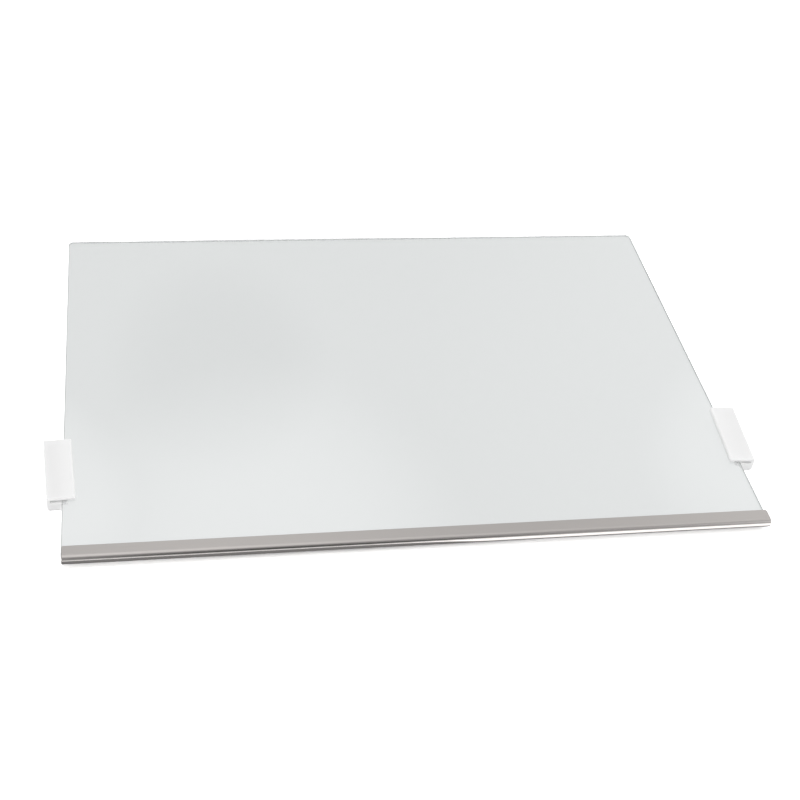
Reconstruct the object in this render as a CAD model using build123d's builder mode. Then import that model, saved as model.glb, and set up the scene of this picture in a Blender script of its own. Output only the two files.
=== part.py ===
from build123d import *
import os
from math import radians, sin

# Refrigerator shelf: a tempered glass plate, a metal trim with a round nose along its front
# edge, and a push-on plastic clip on each side edge.
# Sizes are in millimetres. X runs to the right, Y to the back and Z up. The origin is the middle
# of the shelf's width and depth, on the plane that the clips' feet stand on.

# Glass plate
glass_width = 475.0
glass_depth = 344.0
glass_thickness = 4.0
glass_corner_radius = 4.0
glass_arris = 0.5

# Front trim: a C section whose mouth takes the glass, with a half-round nose
trim_depth = 11.4
trim_under_depth = 9.0
trim_top_wall = 1.6
trim_under_wall = 1.4
trim_nose_wall = 2.3
trim_slot_clearance = 0.2
trim_slot_radius = 0.3
trim_end_overhang = 0.3
trim_shift = 0.8
trim_corner_radius = 1.5
trim_edge_radius = 0.4

# Side clip: a top leg over the glass, a jaw under it and a foot, on one outer wall. A ledge above
# the jaw stops the edge of the glass. The channel over the foot is closed by a web at each end.
clip_length = 56.7
clip_wall = 2.2
clip_top_wall = 1.9
clip_jaw_wall = 1.8
clip_channel = 1.4
clip_foot_wall = 1.6
clip_web = 2.0
clip_top_width = 18.6
clip_grip = 9.0
clip_jaw_width = 13.6
clip_foot_width = 9.0
clip_slot_clearance = 0.2
clip_shoulder_radius = 1.0
clip_heel_radius = 2.6
clip_root_radius = 0.6
clip_lip_radius = 1.2
clip_tip_radius = 0.4
clip_end_radius = 0.3
ledge_height = 2.6
ledge_clearance = 0.1

# Each clip sits a few degrees askew, its front end further on to the glass, and the right one
# isn't pushed quite home
clip_skew = 3.6
left_clip_setback = 52.9
right_clip_setback = 60.6
right_clip_gap = 1.0

# Levels, from the feet up
jaw_bottom = clip_foot_wall + clip_channel
glass_bottom = jaw_bottom + clip_jaw_wall
glass_top = glass_bottom + glass_thickness
trim_slot_bottom = glass_bottom - trim_slot_clearance
trim_bottom = trim_slot_bottom - trim_under_wall
trim_top = glass_top + trim_top_wall
ledge_top = glass_bottom + ledge_height
clip_slot_top = glass_top + clip_slot_clearance
clip_top = clip_slot_top + clip_top_wall

# Places across the width, which is counted over both clips
glass_middle_x = -right_clip_gap / 2
trim_middle_x = glass_middle_x + trim_shift

# Places along the depth, from the trim's nose to the back edge of the glass
nose_radius = (trim_top - trim_bottom) / 2
nose_y = -(trim_nose_wall + glass_depth) / 2
nose_root_y = nose_y + nose_radius
glass_front_y = nose_y + trim_nose_wall
glass_middle_y = glass_front_y + glass_depth / 2
trim_under_y = nose_y + trim_under_depth
trim_back_y = nose_y + trim_depth


# Glass plate: rounded corners, and a ground arris round both faces
with BuildPart() as glass_plate:
    with BuildSketch(Plane.XY.offset(glass_bottom)):
        with Locations((glass_middle_x, glass_middle_y)):
            RectangleRounded(glass_width, glass_depth, glass_corner_radius)
    extrude(amount=glass_thickness)
    chamfer(glass_plate.faces().filter_by(Axis.Z).edges(), glass_arris)
glass_plate.part.label = "glass_plate"


# Front trim: the section carried along the width, then cut to a plan with round back corners.
# It was pushed on a little to the right of the middle of the glass.
trim_length = glass_width + 2 * trim_end_overhang
with BuildPart() as front_trim:
    with BuildSketch(Plane.YZ.offset(trim_middle_x)) as trim_section:
        with BuildLine():
            ThreePointArc(
                (nose_root_y, trim_top),
                (nose_y, trim_top - nose_radius),
                (nose_root_y, trim_bottom),
            )
            Polyline(
                (nose_root_y, trim_bottom),
                (trim_under_y, trim_bottom),
                (trim_under_y, trim_slot_bottom),
                (glass_front_y, trim_slot_bottom),
                (glass_front_y, glass_top),
                (trim_back_y, glass_top),
                (trim_back_y, trim_top),
                (nose_root_y, trim_top),
            )
        make_face()
        slot_floor = (glass_front_y, (trim_slot_bottom + glass_top) / 2)
        fillet(trim_section.vertices().sort_by_distance(slot_floor)[:2], trim_slot_radius)
        under_lip = (trim_under_y, trim_bottom)
        fillet(trim_section.vertices().sort_by_distance(under_lip)[0], trim_edge_radius)
    extrude(amount=trim_length / 2, both=True)
    with BuildSketch(Plane.XY.offset(trim_bottom)) as trim_plan:
        with Locations((trim_middle_x, nose_y + trim_depth / 2)):
            Rectangle(trim_length, trim_depth)
        fillet(trim_plan.vertices().group_by(Axis.Y)[-1], trim_corner_radius)
    extrude(amount=trim_top - trim_bottom, mode=Mode.INTERSECT)
    top_face = front_trim.faces().sort_by(Axis.Z)[-1]
    fillet(top_face.edges().sort_by(Axis.Y)[1:], trim_edge_radius)
front_trim.part.label = "front_trim"


def corners(sketch, *places):
    """The corner of a sketch that is nearest to each place."""
    return [sketch.vertices().sort_by_distance(place)[0] for place in places]


def side_clip(side, setback, gap):
    """One clip, on the left edge of the glass for side -1 and on the right edge for side 1.

    The section's X runs outwards from the inner face of the ledge, and its Y is the height.
    Where the gap is 0, the front corner of the ledge meets the edge of the glass.
    """
    outward = Vector(side, 0, 0).rotate(Axis.Z, -side * clip_skew)
    seat_x = glass_width / 2 + ledge_clearance + gap + clip_length / 2 * sin(radians(clip_skew))
    section_plane = Plane(
        origin=(glass_middle_x + side * seat_x, nose_y + setback + clip_length / 2, 0),
        x_dir=outward,
        z_dir=outward.cross(Vector(0, 0, 1)),
    )
    outer_face = clip_top_width - clip_grip
    wall_face = outer_face - clip_wall
    leg_tip = outer_face - clip_top_width
    jaw_tip = outer_face - clip_jaw_width
    foot_tip = outer_face - clip_foot_width
    with BuildPart() as clip:
        with BuildSketch(section_plane) as section:
            outer_corner = (Align.MAX, Align.MAX)
            with Locations((outer_face, clip_top)):
                Rectangle(clip_wall, clip_top, align=outer_corner)
                Rectangle(clip_top_width, clip_top_wall, align=outer_corner)
            with Locations((outer_face, ledge_top)):
                Rectangle(outer_face, ledge_top - jaw_bottom, align=outer_corner)
            with Locations((outer_face, glass_bottom)):
                Rectangle(clip_jaw_width, clip_jaw_wall, align=outer_corner)
            with Locations((outer_face, jaw_bottom)):
                Rectangle(clip_foot_width, jaw_bottom, align=outer_corner)
            tips = corners(
                section,
                (leg_tip, clip_slot_top),
                (0, ledge_top),
                (jaw_tip, glass_bottom),
                (jaw_tip, jaw_bottom),
                (foot_tip, 0),
            )
            fillet(tips, clip_tip_radius)
            fillet(corners(section, (leg_tip, clip_top)), clip_lip_radius)
            mouth_roots = corners(section, (wall_face, clip_slot_top), (wall_face, ledge_top))
            fillet(mouth_roots + corners(section, (foot_tip, jaw_bottom)), clip_root_radius)
            fillet(corners(section, (outer_face, 0)), clip_heel_radius)
            fillet(corners(section, (outer_face, clip_top)), clip_shoulder_radius)
        extrude(amount=clip_length / 2, both=True)
        ends = clip.faces().sort_by(Axis(section_plane.origin, section_plane.z_dir))
        fillet(ends[0].edges() + ends[-1].edges(), clip_end_radius)
        with BuildSketch(section_plane):
            with Locations((wall_face, clip_foot_wall)):
                Rectangle(clip_jaw_width, clip_channel, align=(Align.MAX, Align.MIN))
        extrude(amount=clip_length / 2 - clip_web, both=True, mode=Mode.SUBTRACT)
    return clip.part


left_clip = side_clip(-1, left_clip_setback, 0)
left_clip.label = "left_clip"
right_clip = side_clip(1, right_clip_setback, right_clip_gap)
right_clip.label = "right_clip"

os.makedirs("parts", exist_ok=True)
for piece in (glass_plate.part, front_trim.part, left_clip, right_clip):
    export_step(piece, f"parts/{piece.label}.step")
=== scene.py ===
from math import cos, radians, sin

import bpy
from mathutils import Matrix, Vector


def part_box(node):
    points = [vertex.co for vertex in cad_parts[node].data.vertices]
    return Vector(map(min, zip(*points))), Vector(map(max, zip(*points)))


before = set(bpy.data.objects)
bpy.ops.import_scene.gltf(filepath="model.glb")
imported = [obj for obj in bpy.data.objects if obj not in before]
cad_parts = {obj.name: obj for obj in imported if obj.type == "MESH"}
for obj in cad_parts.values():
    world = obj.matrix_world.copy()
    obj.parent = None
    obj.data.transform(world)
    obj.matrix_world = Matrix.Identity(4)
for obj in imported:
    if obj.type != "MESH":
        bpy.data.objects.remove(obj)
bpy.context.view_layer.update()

# Refrigerator shelf: the looks of its glass plate, front trim and two side clips.
# Lengths are in metres, in the frame of the solids. Angles are in degrees.
# An azimuth is counted from +Y, the back of the shelf, towards +X, its right.

scene = bpy.context.scene
scene.view_settings.view_transform = "Standard"

# Camera, as fitted to the corners and edges of the shelf in the photograph
CAMERA_PLACE = (-0.18461, -0.77747, 0.67125)
CAMERA_AZIMUTH = 13.9824
CAMERA_TILT_DOWN = 40.8066
CAMERA_ROLL = 7.2659
CAMERA_LENS = 62.486
CAMERA_SENSOR = 36.0

# Floor: what it gives back as light, and how white it shows to the eye, in metal and through glass
FLOOR_HALF_WIDTH = 6.0
FLOOR_BOUNCE = 0.82
FLOOR_TO_THE_EYE = 1.85
FLOOR_IN_METAL = 1.50
FLOOR_GLOW_IN_METAL = 0.5
FLOOR_THROUGH_GLASS = 0.97
FLOOR_GLOW_THROUGH_GLASS = 0.96

# Painted shade on the floor before the trim, as its nose mirrors it: deep on the left, thin on the
# right
PAINTED_SHADE_IN_METAL = 0.25
SHADE_REACH_LEFT = 0.075
SHADE_REACH_RIGHT = 0.003
SHADE_TURNS_FROM_X = -0.060
SHADE_TURNS_TO_X = 0.040
SHADE_SOFTNESS = 0.3
SHADE_BEHIND_NOSE = 0.02

# Painted shade, seen by the eye, that deepens the floor's own shadow under the middle of the nose
NOSE_SHADE = 0.60
NOSE_SHADE_STARTS_BEHIND = 0.0025
NOSE_SHADE_FULL_BEHIND = 0.0055
NOSE_SHADE_MIDDLE_X = -0.045
NOSE_SHADE_EVEN_HALF_LENGTH = 0.080
NOSE_SHADE_HALF_LENGTH = 0.130

# Studio surround: an even level, with soft patches of more or less light on it
SURROUND_LEVEL = 0.55
SURROUND_TO_THE_EYE = 1.0
SURROUND_PATCHES = {
    # name: (azimuth, elevation, half width of its even middle, half width, light added there)
    "soft box overhead": (220.0, 85.0, 0.0, 20.0, 1.35),
    "soft box high behind": (-6.0, 67.0, 0.0, 20.0, 1.00),
    "soft box on the left": (-80.0, 55.0, 0.0, 45.0, 0.20),
    "soft box on the right": (85.0, 48.0, 0.0, 34.0, 0.90),
    "soft box in front on the left": (-133.0, 20.0, 0.0, 40.0, 1.20),
    "soft box in front on the right": (125.0, 22.0, 0.0, 28.0, 2.10),
    "strip light behind": (7.0, 48.0, 0.0, 9.0, 1.40),
    "left end of the strip light": (-7.0, 45.0, 0.0, 5.0, 1.50),
    "right end of the strip light": (33.0, 39.5, 0.0, 5.0, 0.90),
    "light behind on the right": (47.0, 31.0, 0.0, 30.0, 0.70),
    "dark below the soft box on the right": (85.0, 29.0, 0.0, 26.0, -0.50),
    "gap under the strip light": (4.0, 40.0, 0.0, 5.0, -0.55),
    "dark room behind the camera": (174.0, 26.0, 5.0, 13.0, -0.50),
    "dark room above the camera": (174.0, 48.0, 5.0, 14.0, -0.50),
    "dark room on the right of the camera": (157.0, 26.0, 0.0, 14.0, -0.20),
}

# Glass
GLASS_TINT = (0.770, 0.788, 0.787)
GLASS_SHADE = (0.96, 0.96, 0.96)
GLASS_INDEX = 1.5
GLASS_FACE_LEVELNESS = 0.98
GLASS_FACE_CLEARNESS = 1.0
GLASS_EDGE_LEVELNESS = 0.90
GLASS_EDGE_CLEARNESS = 0.7
GLASS_EDGE_TINT = (0.62, 0.65, 0.64)
GLASS_EDGE_ROUGHNESS = 0.30
GLASS_SMUDGE_SCALE = 14.0
GLASS_SMUDGE_DETAIL = 4.0
GLASS_SMUDGE_FINENESS = 0.55
GLASS_SMUDGE_STARTS = 0.45
GLASS_SMUDGE_FULL = 0.75
GLASS_SMUDGE_ROUGHNESS = 0.04

# Metal of the trim
TRIM_TOP_COLOUR = (0.422, 0.401, 0.388)
TRIM_TOP_ROUGHNESS = 0.34
TRIM_TOP_ROUGHNESS_SPREAD = 0.015
TRIM_NOSE_COLOUR = (0.74, 0.71, 0.69)
TRIM_NOSE_ROUGHNESS = 0.10
TRIM_NOSE_START = 0.00250
TRIM_NOSE_FADE = 0.0003
TRIM_STREAK_SCALE = (8.0, 1400.0, 1400.0)
TRIM_STREAK_DETAIL = 3.0
TRIM_STREAK_SMOOTHEST = 0.3
TRIM_STREAK_ROUGHEST = 0.7
TRIM_STREAK_CONTRAST = 0.01

# Plastic of the clips
CLIP_COLOUR = (0.85, 0.85, 0.85)
CLIP_ROUGHNESS = 0.42
CLIP_ROUGHNESS_SPREAD = 0.06
CLIP_CLOUD_SCALE = 60.0
CLIP_CLOUD_DETAIL = 3.0
CLIP_CLOUD_CONTRAST = 0.015
CLIP_GRAIN_SCALE = 900.0
CLIP_GRAIN_DETAIL = 2.0
CLIP_GRAIN_STRENGTH = 0.08
CLIP_GRAIN_HEIGHT = 0.0002
CLIP_LIGHT_SHARE = 0.75
CLIP_LIGHT_DEPTH = 0.003


def colour(rgb):
    return (*rgb, 1.0)


def grey(level):
    return (level, level, level, 1.0)


def times(rgb, factor):
    return tuple(factor * part for part in rgb)


def around(middle, spread):
    """The two ends of a range about its middle."""
    return middle - spread, middle + spread


def heading(azimuth, elevation):
    """The unit vector towards an azimuth and elevation."""
    a, e = radians(azimuth), radians(elevation)
    return Vector((sin(a) * cos(e), cos(a) * cos(e), sin(e)))


def make(tree, kind, inputs=None, **settings):
    """A new shader node. Each input is a plain value, or the output socket that feeds it."""
    node = tree.nodes.new("ShaderNode" + kind)
    for name, value in settings.items():
        setattr(node, name, value)
    for socket, value in (inputs or {}).items():
        if isinstance(value, bpy.types.NodeSocket):
            tree.links.new(value, node.inputs[socket])
        else:
            node.inputs[socket].default_value = value
    return node


def calculate(tree, operation, *values):
    """The result of a sum on one or two values."""
    return make(tree, "Math", dict(enumerate(values)), operation=operation).outputs[0]


def fade(tree, value, start, end, low=0.0, high=1.0, smooth=False):
    """What goes from low to high as value goes from start to end, evenly or smoothly."""
    ends = {"Value": value, "From Min": start, "From Max": end, "To Min": low, "To Max": high}
    slope = "SMOOTHSTEP" if smooth else "LINEAR"
    return make(tree, "MapRange", ends, interpolation_type=slope).outputs["Result"]


def clouds(tree, place, scale, detail, fineness=0.5):
    """Random clouds from 0 to 1. Fineness is how much each finer layer of them counts."""
    layers = {"Vector": place, "Scale": scale, "Detail": detail, "Roughness": fineness}
    return make(tree, "TexNoise", layers).outputs["Fac"]


def blend_values(tree, share, first, second):
    """The value that goes from first to second as share goes from 0 to 1."""
    return make(tree, "Mix", {"Factor": share, "A": first, "B": second}).outputs["Result"]


def blend_colours(tree, share, first, second):
    """The colour that goes from first to second as share goes from 0 to 1."""
    return make(tree, "Mix", {"Factor": share, 6: first, 7: second}, data_type="RGBA").outputs[2]


def new_material(name):
    """An empty material, with its node tree and its output node."""
    material = bpy.data.materials.new(name)
    material.use_nodes = True
    material.node_tree.nodes.clear()
    return material, material.node_tree, make(material.node_tree, "OutputMaterial")


def add_camera():
    """The camera looks along its azimuth, tilted down, and is rolled about its own line of sight."""
    forward = heading(CAMERA_AZIMUTH, -CAMERA_TILT_DOWN)
    level_right = heading(CAMERA_AZIMUTH + 90.0, 0.0)
    level_up = level_right.cross(forward)
    roll = radians(CAMERA_ROLL)
    right = cos(roll) * level_right + sin(roll) * level_up
    up = cos(roll) * level_up - sin(roll) * level_right
    turn = Matrix((right, up, -forward)).transposed()
    lens = bpy.data.cameras.new("photo_camera")
    lens.sensor_width = CAMERA_SENSOR
    lens.lens = CAMERA_LENS
    camera = bpy.data.objects.new("photo_camera", lens)
    camera.matrix_world = Matrix.Translation(CAMERA_PLACE) @ turn.to_4x4()
    scene.collection.objects.link(camera)
    scene.camera = camera


def add_surround():
    """Light from every side: each patch fades smoothly from its middle to its half width."""
    world = bpy.data.worlds.new("studio_surround")
    scene.world = world
    world.use_nodes = True
    tree = world.node_tree
    tree.nodes.clear()
    direction = make(tree, "TexCoord").outputs["Generated"]
    level = SURROUND_LEVEL
    for azimuth, elevation, even_width, half_width, light in SURROUND_PATCHES.values():
        nearness = make(
            tree, "VectorMath", {0: direction, 1: heading(azimuth, elevation)}, operation="DOT_PRODUCT"
        ).outputs["Value"]
        rim, even_rim = cos(radians(half_width)), cos(radians(even_width))
        glow = fade(tree, nearness, rim, even_rim, high=light, smooth=True)
        level = calculate(tree, "ADD", level, glow)
    level = calculate(tree, "MAXIMUM", level, 0.0)
    rays = make(tree, "LightPath").outputs
    seen = calculate(tree, "MAXIMUM", rays["Is Camera Ray"], rays["Is Transmission Ray"])
    strength = blend_values(tree, seen, level, SURROUND_TO_THE_EYE)
    background = make(tree, "Background", {"Color": grey(1.0), "Strength": strength})
    make(tree, "OutputWorld", {"Surface": background.outputs[0]})


def floor_in_metal_with_painted_shade(tree, spot, ahead):
    """The floor as metal mirrors it, with a painted shade from the nose to a reach that shrinks to the
    right.
    """
    reach = fade(
        tree,
        spot["X"],
        SHADE_TURNS_FROM_X,
        SHADE_TURNS_TO_X,
        low=SHADE_REACH_LEFT,
        high=SHADE_REACH_RIGHT,
        smooth=True,
    )
    share_of_reach = calculate(tree, "DIVIDE", ahead, reach)
    inner, outer = around(1.0, SHADE_SOFTNESS)
    within_reach = fade(tree, share_of_reach, outer, inner, smooth=True)
    by_the_nose = calculate(tree, "GREATER_THAN", ahead, -SHADE_BEHIND_NOSE)
    shade = calculate(tree, "MULTIPLY", within_reach, by_the_nose)
    return blend_colours(tree, shade, grey(FLOOR_IN_METAL), grey(PAINTED_SHADE_IN_METAL))


def floor_to_the_eye_with_painted_shade(tree, spot, ahead):
    """The floor as the eye sees it: white, with a painted shade right under the middle of the nose."""
    off_middle = calculate(tree, "SUBTRACT", spot["X"], NOSE_SHADE_MIDDLE_X)
    distance = calculate(tree, "ABSOLUTE", off_middle)
    along_nose = fade(
        tree, distance, NOSE_SHADE_HALF_LENGTH, NOSE_SHADE_EVEN_HALF_LENGTH, smooth=True
    )
    under_nose = fade(tree, ahead, -NOSE_SHADE_STARTS_BEHIND, -NOSE_SHADE_FULL_BEHIND)
    shade = calculate(tree, "MULTIPLY", along_nose, under_nose)
    return blend_colours(tree, shade, grey(FLOOR_TO_THE_EYE), grey(NOSE_SHADE * FLOOR_TO_THE_EYE))


def add_floor(nose_y):
    """A flat sheet, white to the eye, in metal and through glass, which keeps the shelf's shadow."""
    sheet = bpy.data.meshes.new("floor")
    w = FLOOR_HALF_WIDTH
    sheet.from_pydata([(-w, -w, 0), (w, -w, 0), (w, w, 0), (-w, w, 0)], [], [(0, 1, 2, 3)])
    floor = bpy.data.objects.new("floor", sheet)
    scene.collection.objects.link(floor)
    material, tree, output = new_material("white_floor")
    spot = make(tree, "SeparateXYZ", {0: make(tree, "TexCoord").outputs["Object"]}).outputs
    ahead = calculate(tree, "SUBTRACT", nose_y, spot["Y"])
    # The floor's colour to the eye and in metal holds painted shade by the trim's nose
    to_the_eye = floor_to_the_eye_with_painted_shade(tree, spot, ahead)
    in_metal = floor_in_metal_with_painted_shade(tree, spot, ahead)
    through_glass = grey(FLOOR_THROUGH_GLASS)
    rays = make(tree, "LightPath").outputs
    # Only mirror rays that come before any bounce see the painted shade
    before_a_bounce = calculate(tree, "LESS_THAN", rays["Diffuse Depth"], 1.0)
    mirrored = calculate(tree, "MULTIPLY", rays["Is Glossy Ray"], before_a_bounce)
    surface = make(tree, "BsdfDiffuse", {"Color": grey(FLOOR_BOUNCE)}).outputs[0]
    for ray, shown, glow_share in (
        (rays["Is Camera Ray"], to_the_eye, 0.0),
        (mirrored, in_metal, FLOOR_GLOW_IN_METAL),
        (rays["Is Transmission Ray"], through_glass, FLOOR_GLOW_THROUGH_GLASS),
    ):
        shaded = make(tree, "BsdfDiffuse", {"Color": shown})
        glow = make(tree, "Emission", {"Color": shown, "Strength": 1.0})
        both = make(tree, "MixShader", {0: glow_share, 1: shaded.outputs[0], 2: glow.outputs[0]})
        surface = make(tree, "MixShader", {0: ray, 1: surface, 2: both.outputs[0]}).outputs[0]
    tree.links.new(surface, output.inputs["Surface"])
    sheet.materials.append(material)


def clear_glass():
    """Clear tempered glass: smooth faces with the faintest smudges, and ground edges."""
    material, tree, output = new_material("clear_glass_with_ground_edges")
    spot = make(tree, "TexCoord").outputs
    upright = make(tree, "SeparateXYZ", {0: spot["Normal"]}).outputs["Z"]
    levelness = calculate(tree, "ABSOLUTE", upright)
    edge = fade(tree, levelness, GLASS_FACE_LEVELNESS, GLASS_EDGE_LEVELNESS)
    smudge = clouds(
        tree, spot["Object"], GLASS_SMUDGE_SCALE, GLASS_SMUDGE_DETAIL, GLASS_SMUDGE_FINENESS
    )
    face_roughness = fade(
        tree, smudge, GLASS_SMUDGE_STARTS, GLASS_SMUDGE_FULL, high=GLASS_SMUDGE_ROUGHNESS
    )
    shader = make(
        tree,
        "BsdfPrincipled",
        {
            "Base Color": blend_colours(tree, edge, colour(GLASS_TINT), colour(GLASS_EDGE_TINT)),
            "Roughness": blend_values(tree, edge, face_roughness, GLASS_EDGE_ROUGHNESS),
            "IOR": GLASS_INDEX,
            "Transmission Weight": blend_values(
                tree, edge, GLASS_FACE_CLEARNESS, GLASS_EDGE_CLEARNESS
            ),
        },
    )
    shade = make(tree, "BsdfTransparent", {"Color": colour(GLASS_SHADE)})
    to_lamp = make(tree, "LightPath").outputs["Is Shadow Ray"]
    both = make(tree, "MixShader", {0: to_lamp, 1: shader.outputs[0], 2: shade.outputs[0]})
    tree.links.new(both.outputs[0], output.inputs["Surface"])
    return material


def satin_metal(nose_back_y):
    """Bare metal: a satin top brushed along its length, and a nose polished bright."""
    material, tree, output = new_material("satin_metal_with_bright_nose")
    spot = make(tree, "TexCoord").outputs["Object"]
    depth = make(tree, "SeparateXYZ", {0: spot}).outputs["Y"]
    before_nose, within_nose = around(nose_back_y - TRIM_NOSE_START, -TRIM_NOSE_FADE)
    nose = fade(tree, depth, before_nose, within_nose)
    brushed = make(tree, "Mapping", {"Vector": spot, "Scale": TRIM_STREAK_SCALE}).outputs[0]
    streaks = clouds(tree, brushed, 1.0, TRIM_STREAK_DETAIL)
    top_roughness = fade(
        tree,
        streaks,
        TRIM_STREAK_SMOOTHEST,
        TRIM_STREAK_ROUGHEST,
        *around(TRIM_TOP_ROUGHNESS, TRIM_TOP_ROUGHNESS_SPREAD),
    )
    dark_streak = times(TRIM_TOP_COLOUR, 1.0 - TRIM_STREAK_CONTRAST)
    bright_streak = times(TRIM_TOP_COLOUR, 1.0 + TRIM_STREAK_CONTRAST)
    satin = blend_colours(tree, streaks, colour(dark_streak), colour(bright_streak))
    shader = make(
        tree,
        "BsdfPrincipled",
        {
            "Base Color": blend_colours(tree, nose, satin, colour(TRIM_NOSE_COLOUR)),
            "Roughness": blend_values(tree, nose, top_roughness, TRIM_NOSE_ROUGHNESS),
            "Metallic": 1.0,
        },
    )
    tree.links.new(shader.outputs[0], output.inputs["Surface"])
    return material


def white_plastic():
    """White moulded plastic with a fine grain, which light enters a little way."""
    material, tree, output = new_material("white_satin_plastic")
    spot = make(tree, "TexCoord").outputs["Object"]
    cloud = clouds(tree, spot, CLIP_CLOUD_SCALE, CLIP_CLOUD_DETAIL)
    grain = clouds(tree, spot, CLIP_GRAIN_SCALE, CLIP_GRAIN_DETAIL)
    dull = times(CLIP_COLOUR, 1.0 - CLIP_CLOUD_CONTRAST)
    bump = make(
        tree,
        "Bump",
        {"Height": grain, "Strength": CLIP_GRAIN_STRENGTH, "Distance": CLIP_GRAIN_HEIGHT},
    )
    shader = make(
        tree,
        "BsdfPrincipled",
        {
            "Base Color": blend_colours(tree, cloud, colour(dull), colour(CLIP_COLOUR)),
            "Roughness": fade(tree, grain, 0.0, 1.0, *around(CLIP_ROUGHNESS, CLIP_ROUGHNESS_SPREAD)),
            "Normal": bump.outputs[0],
            "Subsurface Weight": CLIP_LIGHT_SHARE,
            "Subsurface Radius": (1.0, 1.0, 1.0),
            "Subsurface Scale": CLIP_LIGHT_DEPTH,
        },
    )
    tree.links.new(shader.outputs[0], output.inputs["Surface"])
    return material


def dress(node, material):
    """Gives a node of the frame its finish."""
    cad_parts[node].material_slots[0].material = material


trim_low, trim_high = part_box("front_trim")
add_camera()
add_surround()
add_floor(trim_low.y)

# The nose is a half round, so it ends half its height behind its front
nose_back = trim_low.y + (trim_high.z - trim_low.z) / 2
clip_finish = white_plastic()
dress("glass_plate", clear_glass())
dress("front_trim", satin_metal(nose_back))
dress("left_clip", clip_finish)
dress("right_clip", clip_finish)

# Light that the floor and the clips scatter passes the plate unchanged
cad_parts["glass_plate"].visible_diffuse = False
